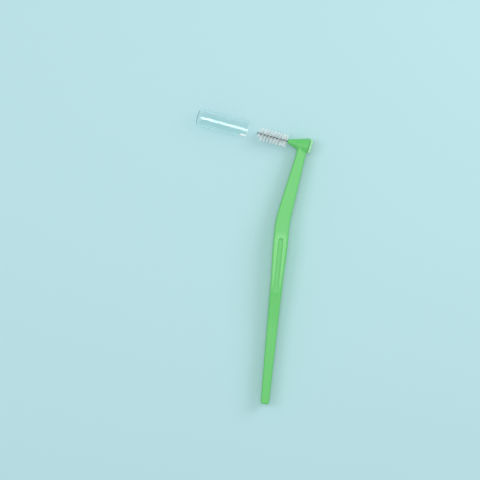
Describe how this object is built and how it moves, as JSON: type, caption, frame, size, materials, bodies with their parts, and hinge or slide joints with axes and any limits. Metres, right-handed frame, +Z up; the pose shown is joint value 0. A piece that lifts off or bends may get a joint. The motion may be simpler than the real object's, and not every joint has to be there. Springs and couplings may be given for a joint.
{
  "type": "interdental brush",
  "caption": "Angled interdental brush: bent plastic handle with conical head, twisted wire with fine bristles set square to the neck, and a clear tubular cap that slides on over the bristles.",
  "frame": {"origin": "centre of the nose tip, where the wire comes out of the head", "axes": "+X along the wire from the bristles into the head, +Y up the neck away from the tail, +Z up from the surface that the brush lies on"},
  "size_m": [0.0531, 0.0989, 0.0066],
  "materials": {
    "green_plastic": "moulded polypropylene, semi-gloss",
    "wire_steel": "drawn stainless wire",
    "bristle_nylon": "translucent white nylon filament",
    "clear_plastic": "clear moulded plastic"
  },
  "bodies": {
    "brush": {"handle": "green_plastic", "wire_lock_strip": "green_plastic", "core_wire": "wire_steel", "bristles": "bristle_nylon"},
    "cap": {"protective_cap": "clear_plastic"}
  },
  "joints": [
    {"name": "cap_slide", "type": "slide", "parent": "brush", "child": "cap", "axis": [1, 0, 0], "range_m": [0, 0.02188]}
  ]
}
